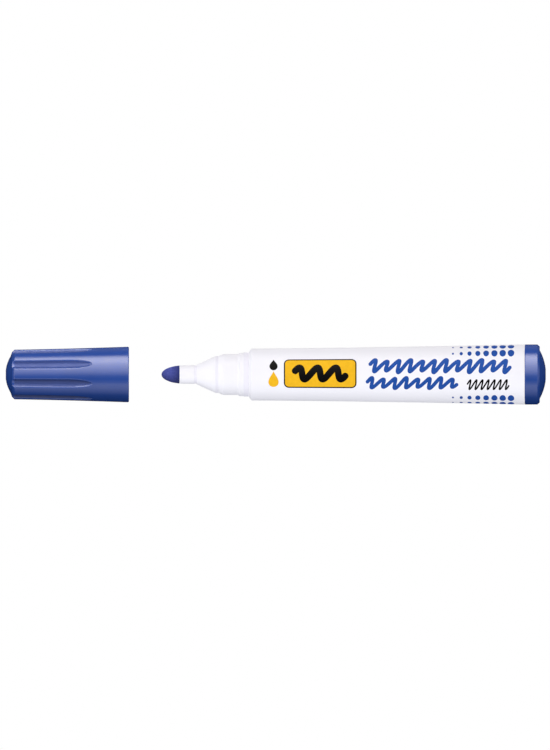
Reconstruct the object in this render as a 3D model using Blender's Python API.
"""Felt tip marker for whiteboards, lying on its side with its cap pulled off in line with it.

Metres, +Z up. The marker's axis lies along X at the height of the end plug's radius, so the
part rests on Z = 0. The nib points to -X and the cap lies beyond it. The origin is under the
middle of the whole length. Sliding the cap 34 mm along +X closes the marker.

Marker pieces are drawn in (x, radius) with x counted from the nib's tip towards the end plug.
Cap pieces are drawn with x counted from the closed end towards the open rim.
"""

import math

import bmesh
import bpy
from mathutils import Matrix, Vector

MM = 0.001

# Driving dimensions
SIDES = 32  # facets round a turned piece, flats at the top, bottom and sides
GAP = 0.3 * MM  # clearance between neighbouring pieces

NIB_HEAD_LENGTH = 5.1 * MM
NIB_HEAD_RADIUS = 2.59 * MM
NIB_BULLET_LENGTH = 6.2 * MM  # half length of the ellipse that rounds the head
NIB_STEM_RADIUS = 1.8 * MM
NIB_LENGTH = 39.5 * MM

TUBE_FRONT_RADIUS = 2.58 * MM
TUBE_REAR_RADIUS = 2.66 * MM
TUBE_END = 10.0 * MM
CONE_START_RADIUS = 2.76 * MM
CONE_RING_START = 15.25 * MM
CONE_RING_END = 16.05 * MM
CONE_RING_RADIUS = 5.2 * MM
CONE_END = 17.55 * MM
NECK_RADIUS = 5.78 * MM
COLLAR_START = 21.65 * MM
COLLAR_RADIUS = 6.12 * MM
COLLAR_LAND_START = 23.25 * MM
COLLAR_LAND_RADIUS = 6.22 * MM
COLLAR_END = 24.65 * MM
SPIGOT_RADIUS = 5.5 * MM
SPIGOT_END = 33.0 * MM
HOLDER_CAVITY_RADIUS = 4.5 * MM

BARREL_FRONT_RADIUS = 7.34 * MM
BARREL_REAR_RADIUS = 8.5 * MM
BARREL_CHAMFER = 0.55 * MM
BARREL_FLARE_POWER = 1.4
BARREL_END = 102.45 * MM
BARREL_WALL = 1.2 * MM
RIB_COUNT = 4
RIB_WIDTH = 1.1 * MM

RESERVOIR_RADIUS = 5.35 * MM
RESERVOIR_END = 101.0 * MM
SLEEVE_WALL = 0.3 * MM
CORE_OVERHANG = 0.5 * MM  # fibre standing out of the sleeve at each end
CORE_RECESS_DEPTH = 6.5 * MM

PLUG_BAND_START = 102.75 * MM
PLUG_BAND_END = 106.35 * MM
PLUG_STEP = 107.0 * MM
PLUG_STEP_RADIUS = 7.92 * MM
PLUG_DOME_RADIUS = 6.93 * MM
PLUG_SPIGOT_RADIUS = 7.0 * MM
PLUG_SPIGOT_LENGTH = 8.0 * MM
PLUG_CUP_RADIUS = 5.9 * MM
PLUG_CUP_FLOOR = 105.7 * MM
PLUG_BEAD_HEIGHT = 0.2 * MM
PLUG_RIB_WIDTH = 0.9 * MM
MARKER_LENGTH = 108.7 * MM
GATE_RADIUS = 1.5 * MM  # flat left by the mould's gate at both outer ends

CAP_LENGTH = 34.85 * MM
CAP_DOME_RADIUS = 5.1 * MM
CAP_DOME_HEIGHT = 1.33 * MM
CAP_END_CONE = 1.75 * MM
CAP_END_CONE_RADIUS = 6.3 * MM
CAP_END_START = 2.45 * MM  # where the rounded edge of the closed end meets the side
CAP_END_RADIUS = 7.03 * MM
CAP_RIM_RADIUS = 7.89 * MM
CAP_FLARE_POWER = 1.3
CAP_MOUTH_RADIUS = 6.75 * MM
CAP_MOUTH_END = 27.5 * MM
CAP_BORE_RADIUS = 5.3 * MM
CAP_BORE_START = 22.0 * MM
CAP_BORE_END = 3.0 * MM
CAP_FLOOR = 1.6 * MM
CAP_FLOOR_CORNER = 0.6 * MM
CAP_BEAD_RADIUS = 6.52 * MM
CAP_BEAD_PLACE = 32.7 * MM
FLUTE_COUNT = 8
FLUTE_HALF_WIDTH = 1.6 * MM
FLUTE_DEPTH = 0.83 * MM
FLUTE_TAPER_START = 17.6 * MM
FLUTE_END = 24.4 * MM
FLUTE_TURN = math.radians(23.3)  # first flute's angle above the side that faces -Y

SEAL_FOOT_START = 3.4 * MM
SEAL_FOOT_END = 8.6 * MM
SEAL_FOOT_WALL = 0.9 * MM
SEAL_FLOOR = 9.3 * MM
SEAL_FLOOR_WALL = 1.1 * MM
SEAL_MOUTH = 19.6 * MM
SEAL_BORE_RADIUS = 3.1 * MM
SEAL_LIP_RADIUS = 2.97 * MM
SEAL_OUTER_RADIUS = 3.85 * MM

CAP_GAP = 9.2 * MM  # from the cap's rim to the nib's tip while the cap is off

# Derived places
AXIS_HEIGHT = BARREL_REAR_RADIUS
TOTAL_LENGTH = CAP_LENGTH + CAP_GAP + MARKER_LENGTH
CAP_ORIGIN = Vector((-TOTAL_LENGTH / 2, 0, AXIS_HEIGHT))
MARKER_ORIGIN = Vector((-TOTAL_LENGTH / 2 + CAP_LENGTH + CAP_GAP, 0, AXIS_HEIGHT))
BARREL_START = COLLAR_END + GAP
HOLDER_FRONT = NIB_HEAD_LENGTH + GAP
STEM_HOLE_RADIUS = NIB_STEM_RADIUS + GAP
SPIGOT_BORE_RADIUS = SPIGOT_RADIUS + GAP
SLEEVE_START = SPIGOT_END + GAP + CORE_OVERHANG
CORE_RADIUS = RESERVOIR_RADIUS - SLEEVE_WALL - GAP
PLUG_SPIGOT_START = PLUG_BAND_START - PLUG_SPIGOT_LENGTH
PLUG_BORE_RADIUS = PLUG_SPIGOT_RADIUS + GAP
PLUG_BEAD_PLACE = PLUG_BAND_START - PLUG_SPIGOT_LENGTH / 2

# Colour (linear), roughness
WHITE_PLASTIC = ((0.86, 0.86, 0.88), 0.38)
BLUE_PLASTIC = ((0.012, 0.045, 0.30), 0.25)
NATURAL_PLASTIC = ((0.70, 0.72, 0.76), 0.45)
INKED_FELT = ((0.010, 0.020, 0.16), 0.90)
INKED_FIBRE = ((0.015, 0.030, 0.22), 0.95)
CLEAR_FILM = ((0.55, 0.62, 0.80), 0.20)


def clear_scene():
    for obj in list(bpy.data.objects):
        bpy.data.objects.remove(obj, do_unlink=True)


def plastic(name, finish):
    """A Principled material of one colour and roughness."""
    colour, roughness = finish
    material = bpy.data.materials.new(name)
    material.use_nodes = True
    shader = material.node_tree.nodes["Principled BSDF"]
    shader.inputs["Base Color"].default_value = (*colour, 1.0)
    shader.inputs["Roughness"].default_value = roughness
    shader.inputs["Metallic"].default_value = 0.0
    return material


def add_empty(name, location):
    empty = bpy.data.objects.new(name, None)
    empty.location = location
    bpy.context.scene.collection.objects.link(empty)
    return empty


def add_object(name, bm, parent, material=None):
    """Turns a bmesh into a smooth-shaded object on its parent's axis."""
    bmesh.ops.remove_doubles(bm, verts=bm.verts, dist=0.0005 * MM)
    bmesh.ops.recalc_face_normals(bm, faces=bm.faces)
    mesh = bpy.data.meshes.new(name)
    bm.to_mesh(mesh)
    bm.free()
    mesh.shade_smooth()
    mesh.set_sharp_from_angle(angle=math.radians(30))
    obj = bpy.data.objects.new(name, mesh)
    obj.parent = parent
    if material:
        mesh.materials.append(material)
    bpy.context.scene.collection.objects.link(obj)
    return obj


def turned(name, outline, parent, material):
    """Spins an outline of (x, radius) points about X.

    The radius is measured to the facets' flats. An outline that doesn't begin and end on the
    axis is a ring, and is closed from its last point to its first.
    """
    bm = bmesh.new()
    half_facet = math.pi / SIDES
    reach = 1 / math.cos(half_facet)
    line = [bm.verts.new((x, r * reach * math.sin(half_facet), -r * reach * math.cos(half_facet)))
            for x, r in outline]
    edges = [bm.edges.new(pair) for pair in zip(line, line[1:])]
    on_axis = outline[0][1] == 0 and outline[-1][1] == 0
    if not on_axis:
        edges.append(bm.edges.new((line[-1], line[0])))
    bmesh.ops.spin(
        bm, geom=line + edges, cent=(0, 0, 0), axis=(1, 0, 0), angle=2 * math.pi, steps=SIDES,
        use_merge=True,
    )
    return add_object(name, bm, parent, material)


def rounded_edge(start, end, steps):
    """Points along a quarter-ellipse that leaves start along x and reaches end along the radius."""
    points = []
    for i in range(steps + 1):
        t = math.pi / 2 * i / steps
        points.append((start[0] + (end[0] - start[0]) * math.sin(t),
                       start[1] + (end[1] - start[1]) * (1 - math.cos(t))))
    return points


def dome(edge_x, edge_radius, top_x, flat_radius, steps):
    """A spherical cap's outline from its edge to a small flat at its top, on the axis."""
    height = top_x - edge_x
    top_to_centre = (edge_radius**2 - flat_radius**2 + height**2) / (2 * height)
    ball = math.hypot(top_to_centre, flat_radius)
    centre = top_x - top_to_centre
    points = []
    for i in range(steps + 1):
        radius = edge_radius + (flat_radius - edge_radius) * i / steps
        points.append((centre + math.copysign(math.sqrt(ball**2 - radius**2), height), radius))
    return points + [(top_x, 0)]


def wedge(name, x_range, inner, outer_front, outer_rear, width, angle, parent):
    """A rib's block between two radii, its outer side following a taper; used in a union."""
    bm = bmesh.new()
    corners = []
    for x, outer in zip(x_range, (outer_front, outer_rear)):
        for radius in (inner, outer):
            corners += [bm.verts.new((x, side * width / 2, radius)) for side in (-1, 1)]
    bmesh.ops.convex_hull(bm, input=corners)
    bmesh.ops.rotate(bm, verts=bm.verts, cent=(0, 0, 0), matrix=Matrix.Rotation(angle, 3, "X"))
    block = add_object(name, bm, parent)
    block.hide_render = True
    block.display_type = "WIRE"
    return block


def unite(target, block):
    modifier = target.modifiers.new(block.name, "BOOLEAN")
    modifier.operation = "UNION"
    modifier.solver = "EXACT"
    modifier.object = block


def barrel_radius(x):
    """Outer radius of the barrel: slim at the front, flaring faster towards the end plug."""
    start = BARREL_START + BARREL_CHAMFER
    t = (x - start) / (BARREL_END - start)
    return BARREL_FRONT_RADIUS + (BARREL_REAR_RADIUS - BARREL_FRONT_RADIUS) * t**BARREL_FLARE_POWER


def bore_radius(x):
    """Inner radius of the barrel behind the tip holder's seat."""
    return barrel_radius(x) - BARREL_WALL


def make_barrel(parent, material):
    """The tapered body shell, with a seat at each end and ribs that centre the reservoir."""
    steps = 10
    body_start = BARREL_START + BARREL_CHAMFER
    outside = [body_start + (BARREL_END - body_start) * i / steps for i in range(steps + 1)]
    seat_end = SPIGOT_END + 2 * GAP
    bore_start = seat_end + 2 * GAP
    rear_seat = PLUG_SPIGOT_START - 2 * GAP
    groove_half = 2 * GAP
    groove_radius = PLUG_BORE_RADIUS + PLUG_BEAD_HEIGHT
    outline = [(BARREL_START, SPIGOT_BORE_RADIUS), (BARREL_START, COLLAR_LAND_RADIUS)]
    outline += [(x, barrel_radius(x)) for x in outside]
    outline += [
        (BARREL_END, PLUG_BORE_RADIUS),
        (PLUG_BEAD_PLACE + 1.5 * groove_half, PLUG_BORE_RADIUS),
        (PLUG_BEAD_PLACE + groove_half, groove_radius),
        (PLUG_BEAD_PLACE - groove_half, groove_radius),
        (PLUG_BEAD_PLACE - 1.5 * groove_half, PLUG_BORE_RADIUS),
        (rear_seat, PLUG_BORE_RADIUS),
    ]
    inside = [rear_seat + (bore_start - rear_seat) * i / steps for i in range(steps + 1)]
    outline += [(x, bore_radius(x)) for x in inside]
    outline.append((seat_end, SPIGOT_BORE_RADIUS))
    barrel = turned("barrel", outline, parent, material)

    rib_start, rib_end = bore_start + 2 * MM, rear_seat - 2 * MM
    root = 0.4 * MM  # how far a rib's block is sunk into the wall
    for i in range(RIB_COUNT):
        angle = 2 * math.pi * (i + 0.5) / RIB_COUNT
        rib = wedge(f"barrel_rib_{i}", (rib_start, rib_end), RESERVOIR_RADIUS + GAP,
                    bore_radius(rib_start) + root, bore_radius(rib_end) + root,
                    RIB_WIDTH, angle, parent)
        unite(barrel, rib)
    return barrel


def make_tip_holder(parent, material):
    """The nose: a slim tube round the nib, a cone, the collar that the cap grips, a spigot."""
    lead = 0.1 * MM
    outline = [
        (HOLDER_FRONT, STEM_HOLE_RADIUS),
        (HOLDER_FRONT, TUBE_FRONT_RADIUS - lead),
        (HOLDER_FRONT + lead, TUBE_FRONT_RADIUS),
        (TUBE_END, TUBE_REAR_RADIUS),
        (TUBE_END, CONE_START_RADIUS),
        (CONE_RING_START, CONE_RING_RADIUS),
        (CONE_RING_END, CONE_RING_RADIUS),
        (CONE_END, NECK_RADIUS),
        (COLLAR_START, NECK_RADIUS),
        (COLLAR_START + 4 * lead, COLLAR_RADIUS),
        (COLLAR_LAND_START, COLLAR_RADIUS),
        (COLLAR_LAND_START + lead, COLLAR_LAND_RADIUS),
        (COLLAR_END, COLLAR_LAND_RADIUS),
        (COLLAR_END, SPIGOT_RADIUS),
        (SPIGOT_END - 4 * lead, SPIGOT_RADIUS),
        (SPIGOT_END, SPIGOT_RADIUS - 2 * lead),
        (SPIGOT_END, HOLDER_CAVITY_RADIUS),
        (CONE_END, HOLDER_CAVITY_RADIUS),
        (CONE_RING_START - 2 * MM, STEM_HOLE_RADIUS),
    ]
    return turned("tip_holder", outline, parent, material)


def make_nib(parent, material):
    """Bullet head with a shoulder, on a stem that feeds from the reservoir."""
    steps = 8
    outline = []
    for i in range(steps + 1):
        x = NIB_HEAD_LENGTH * (i / steps) ** 2
        ratio = (NIB_BULLET_LENGTH - x) / NIB_BULLET_LENGTH
        outline.append((x, NIB_HEAD_RADIUS * math.sqrt(1 - ratio**2)))
    chamfer = 0.5 * MM
    outline += [
        (NIB_HEAD_LENGTH, NIB_STEM_RADIUS),
        (NIB_LENGTH - 2 * chamfer, NIB_STEM_RADIUS),
        (NIB_LENGTH, NIB_STEM_RADIUS - chamfer),
        (NIB_LENGTH, 0),
    ]
    return turned("nib", outline, parent, material)


def make_reservoir(parent, core_material, sleeve_material):
    """The fibre core that holds the ink, with a recess for the nib, in its film sleeve."""
    core_start = SLEEVE_START - CORE_OVERHANG
    recess_end = core_start + CORE_RECESS_DEPTH
    core = [
        (recess_end, 0),
        (recess_end, STEM_HOLE_RADIUS),
        (core_start, STEM_HOLE_RADIUS),
        (core_start, CORE_RADIUS),
        (RESERVOIR_END, CORE_RADIUS),
        (RESERVOIR_END, 0),
    ]
    turned("reservoir_core", core, parent, core_material)
    sleeve_end = RESERVOIR_END - CORE_OVERHANG
    sleeve = [
        (SLEEVE_START, CORE_RADIUS + GAP),
        (SLEEVE_START, RESERVOIR_RADIUS),
        (sleeve_end, RESERVOIR_RADIUS),
        (sleeve_end, CORE_RADIUS + GAP),
    ]
    turned("reservoir_sleeve", sleeve, parent, sleeve_material)


def make_end_plug(parent, material):
    """The domed plug: a band flush with the barrel, a snap-in spigot, a cross of ribs inside."""
    bead = PLUG_SPIGOT_RADIUS + PLUG_BEAD_HEIGHT
    lead = 0.4 * MM
    outline = [
        (PLUG_CUP_FLOOR, 0),
        (PLUG_CUP_FLOOR, PLUG_CUP_RADIUS),
        (PLUG_SPIGOT_START, PLUG_CUP_RADIUS),
        (PLUG_SPIGOT_START, PLUG_SPIGOT_RADIUS - lead),
        (PLUG_SPIGOT_START + 2 * lead, PLUG_SPIGOT_RADIUS),
        (PLUG_BEAD_PLACE - lead, PLUG_SPIGOT_RADIUS),
        (PLUG_BEAD_PLACE, bead),
        (PLUG_BEAD_PLACE + lead, PLUG_SPIGOT_RADIUS),
        (PLUG_BAND_START, PLUG_SPIGOT_RADIUS),
        (PLUG_BAND_START, BARREL_REAR_RADIUS),
        (PLUG_BAND_END, BARREL_REAR_RADIUS),
    ]
    outline += rounded_edge((PLUG_BAND_END, BARREL_REAR_RADIUS), (PLUG_STEP, PLUG_STEP_RADIUS), 3)[1:]
    outline += dome(PLUG_STEP, PLUG_DOME_RADIUS, MARKER_LENGTH, GATE_RADIUS, 6)
    plug = turned("end_plug", outline, parent, material)
    sunk = 0.5 * MM
    span = PLUG_CUP_RADIUS + sunk
    for i in range(2):
        rib = wedge(f"end_plug_rib_{i}", (RESERVOIR_END + GAP, PLUG_CUP_FLOOR + sunk), -span,
                    span, span, PLUG_RIB_WIDTH, math.pi / 2 * (i + 0.5), parent)
        unite(plug, rib)
    return plug


def flute_depth(x, offset):
    """How far a flute cuts in at x, at an offset round the cap from the flute's middle line."""
    t = max(0.0, (x - FLUTE_TAPER_START) / (FLUTE_END - FLUTE_TAPER_START))
    if t >= 1:
        return 0.0
    half = FLUTE_HALF_WIDTH * math.sqrt(1 - t**2)
    across = min(1.0, abs(offset) / half)
    return FLUTE_DEPTH * (1 - t**2) * (1 - across**2)


def cap_radius(x):
    """Outer radius of the cap between its flutes, flaring towards the open rim."""
    t = max(0.0, (x - CAP_END_START) / (CAP_LENGTH - CAP_END_START))
    return CAP_END_RADIUS + (CAP_RIM_RADIUS - CAP_END_RADIUS) * t**CAP_FLARE_POWER


def cap_outside():
    """The cap's outer outline from its domed end to its rim."""
    flat = 0.8 * GATE_RADIUS
    outline = dome(CAP_DOME_HEIGHT, CAP_DOME_RADIUS, 0, flat, 4)[::-1]
    corner = ((CAP_END_CONE + CAP_END_START) / 2, CAP_END_RADIUS - 0.25 * MM)
    outline += [(CAP_END_CONE, CAP_END_CONE_RADIUS), corner]
    rim_round = 0.25 * MM
    straight = [CAP_END_START + (FLUTE_TAPER_START - CAP_END_START) * i / 3 for i in range(3)]
    taper_steps = 6
    taper = FLUTE_END - FLUTE_TAPER_START
    run_out = [FLUTE_TAPER_START + taper * math.sin(math.pi / 2 * i / taper_steps)
               for i in range(taper_steps + 1)]
    plain = [FLUTE_END + (CAP_LENGTH - rim_round - FLUTE_END) * i / 3 for i in range(1, 4)]
    outline += [(x, cap_radius(x)) for x in straight + run_out + plain]
    outline.append((CAP_LENGTH, CAP_RIM_RADIUS - rim_round))
    return outline


def cap_inside():
    """The cap's inner outline from its rim to the middle of its floor."""
    rim_round = 0.2 * MM
    bead_top = 0.25 * MM  # half the bead's width on top, and at its foot
    bead_foot = 0.55 * MM
    return [
        (CAP_LENGTH, CAP_MOUTH_RADIUS + rim_round),
        (CAP_LENGTH - rim_round, CAP_MOUTH_RADIUS),
        (CAP_BEAD_PLACE + bead_foot, CAP_MOUTH_RADIUS),
        (CAP_BEAD_PLACE + bead_top, CAP_BEAD_RADIUS),
        (CAP_BEAD_PLACE - bead_top, CAP_BEAD_RADIUS),
        (CAP_BEAD_PLACE - bead_foot, CAP_MOUTH_RADIUS),
        (CAP_MOUTH_END, CAP_MOUTH_RADIUS),
        (CAP_BORE_START, CAP_BORE_RADIUS),
        (CAP_BORE_END, CAP_BORE_RADIUS),
        (CAP_BORE_END - CAP_FLOOR_CORNER, CAP_BORE_RADIUS - CAP_FLOOR_CORNER),
        (CAP_FLOOR, 0),
    ]


def make_cap_shell(parent, material):
    """The fluted cap: eight grooves run out through its closed end and taper before its rim."""
    sector = 2 * math.pi / FLUTE_COUNT
    flute_half = FLUTE_HALF_WIDTH / CAP_END_RADIUS
    flute_steps, land_steps = 6, 3
    land = sector - 2 * flute_half
    offsets = [-flute_half * math.cos(math.pi * i / flute_steps) for i in range(flute_steps + 1)]
    offsets += [flute_half + land * i / land_steps for i in range(1, land_steps)]
    angles = []
    for flute in range(FLUTE_COUNT):
        angles += [(FLUTE_TURN + flute * sector + offset, offset) for offset in offsets]

    bm = bmesh.new()
    rings = []
    outside = cap_outside()
    for i, (x, r) in enumerate(outside + cap_inside()):
        if r == 0:
            rings.append([bm.verts.new((x, 0, 0))])
            continue
        ring = []
        for angle, offset in angles:
            radius = r
            if i < len(outside):
                floor = cap_radius(x) - flute_depth(x, offset * CAP_END_RADIUS)
                radius = min(r, floor)
            ring.append(bm.verts.new((x, -radius * math.cos(angle), radius * math.sin(angle))))
        rings.append(ring)
    for near, far in zip(rings, rings[1:]):
        count = len(angles)
        for i in range(count):
            j = (i + 1) % count
            corners = [near[i % len(near)], near[j % len(near)], far[j % len(far)], far[i % len(far)]]
            bm.faces.new(list(dict.fromkeys(corners)))
    return add_object("cap_shell", bm, parent, material)


def make_inner_cap(parent, material):
    """The thimble inside the cap that closes round the tip holder's tube and keeps the nib wet."""
    lead = 0.2 * MM
    foot_radius = CAP_BORE_RADIUS - GAP
    lip_place = SEAL_MOUTH - 2 * MM
    outline = [
        (SEAL_FLOOR, 0),
        (SEAL_FLOOR, SEAL_BORE_RADIUS),
        (lip_place - 2 * lead, SEAL_BORE_RADIUS),
        (lip_place, SEAL_LIP_RADIUS),
        (lip_place + 2 * lead, SEAL_BORE_RADIUS),
        (SEAL_MOUTH - lead, SEAL_BORE_RADIUS),
        (SEAL_MOUTH, SEAL_BORE_RADIUS + lead),
        (SEAL_MOUTH, SEAL_OUTER_RADIUS - lead),
        (SEAL_MOUTH - lead, SEAL_OUTER_RADIUS),
        (SEAL_FLOOR, SEAL_OUTER_RADIUS),
        (SEAL_FOOT_END, foot_radius),
        (SEAL_FOOT_START, foot_radius),
        (SEAL_FOOT_START, foot_radius - SEAL_FOOT_WALL),
        (SEAL_FLOOR - SEAL_FLOOR_WALL, foot_radius - SEAL_FOOT_WALL),
        (SEAL_FLOOR - SEAL_FLOOR_WALL, 0),
    ]
    return turned("inner_cap", outline, parent, material)


def main():
    clear_scene()
    white = plastic("white_polypropylene", WHITE_PLASTIC)
    blue = plastic("blue_polypropylene", BLUE_PLASTIC)
    natural = plastic("natural_polypropylene", NATURAL_PLASTIC)
    felt = plastic("inked_felt", INKED_FELT)
    fibre = plastic("inked_fibre", INKED_FIBRE)
    film = plastic("clear_film", CLEAR_FILM)

    marker_axis = add_empty("marker_axis", MARKER_ORIGIN)
    make_barrel(marker_axis, white)
    make_tip_holder(marker_axis, white)
    make_nib(marker_axis, felt)
    make_reservoir(marker_axis, fibre, film)
    make_end_plug(marker_axis, blue)

    cap_axis = add_empty("cap_axis", CAP_ORIGIN)
    make_cap_shell(cap_axis, blue)
    make_inner_cap(cap_axis, natural)


main()
